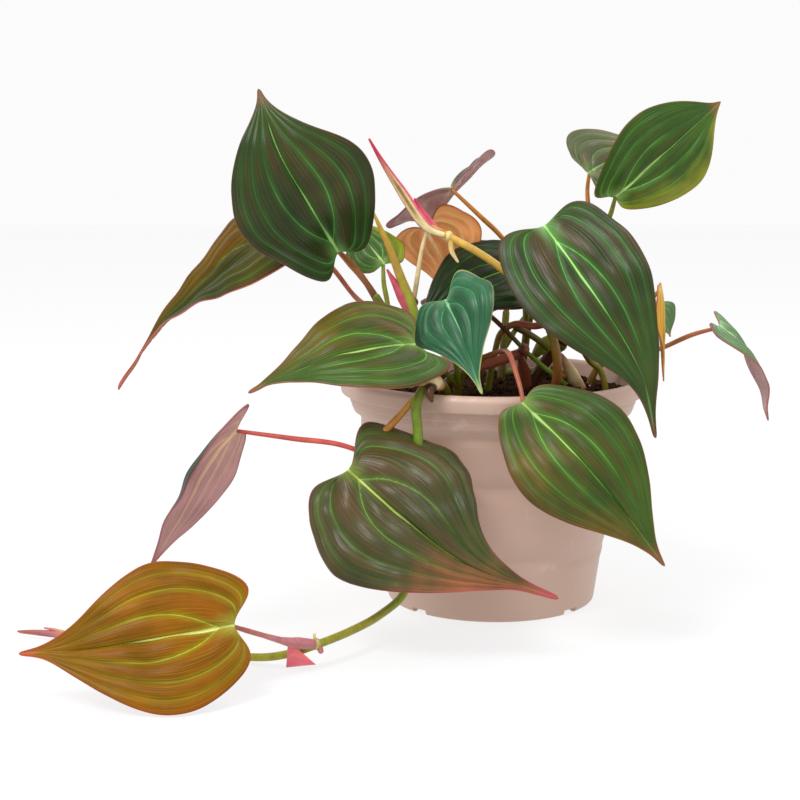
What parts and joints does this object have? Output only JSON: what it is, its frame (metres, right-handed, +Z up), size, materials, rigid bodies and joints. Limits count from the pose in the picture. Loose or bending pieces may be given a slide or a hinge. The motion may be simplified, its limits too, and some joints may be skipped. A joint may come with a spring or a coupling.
{
  "type": "potted velvet leaf philodendron",
  "caption": "Trailing velvet-leaved philodendron with heart-shaped leaves in a round taupe nursery pot filled with soil, free-standing.",
  "frame": {"origin": "middle of the underside of the pot, on the surface that the pot stands on", "axes": "+Z up; the front, with the trailing stem, faces -Y; +X to the right as seen from the front, along the longest extent"},
  "size_m": [0.2869, 0.2126, 0.1981],
  "materials": {
    "pot_plastic": "smooth moulded taupe plastic",
    "soil": "crumbly dark brown potting soil",
    "mature_leaf": "velvety dark green leaf with light green veins",
    "fresh_leaf": "velvety mid green leaf with light green veins",
    "bronze_leaf": "bronze young leaf with yellow green veins",
    "young_leaf": "orange, nearly see-through new leaf",
    "mauve_leaf": "mauve underside of a leaf",
    "stem": "olive, yellow and reddish stems and petioles"
  },
  "bodies": {
    "root": {"leaf_upper_left_large": "mature_leaf", "leaf_far_left_bronze": "bronze_leaf", "leaf_left_small_green": "fresh_leaf", "leaf_centre_purple": "mauve_leaf", "leaf_centre_orange": "young_leaf", "leaf_centre_dark": "mature_leaf", "leaf_centre_teal": "fresh_leaf", "leaf_right_large": "mature_leaf", "leaf_front_right": "mature_leaf", "leaf_front_large": "mature_leaf", "leaf_trailing_bronze": "bronze_leaf", "leaf_left_mauve": "mauve_leaf", "leaf_upper_right_green": "fresh_leaf", "leaf_upper_right_back": "mature_leaf", "leaf_right_small": "fresh_leaf", "leaf_right_yellow": "young_leaf", "leaf_right_pale": "fresh_leaf", "leaf_middle_left": "fresh_leaf", "leaf_back_russet": "bronze_leaf", "leaf_back_right": "mature_leaf", "leaf_back_left": "mature_leaf", "stem_trailing": "stem", "stem_left": "stem", "stem_centre": "stem", "stem_middle": "stem", "stem_right": "stem", "stem_right_low": "stem", "stem_front": "stem", "stem_back": "stem", "pot": "pot_plastic", "potting_soil": "soil"}
  },
  "joints": []
}
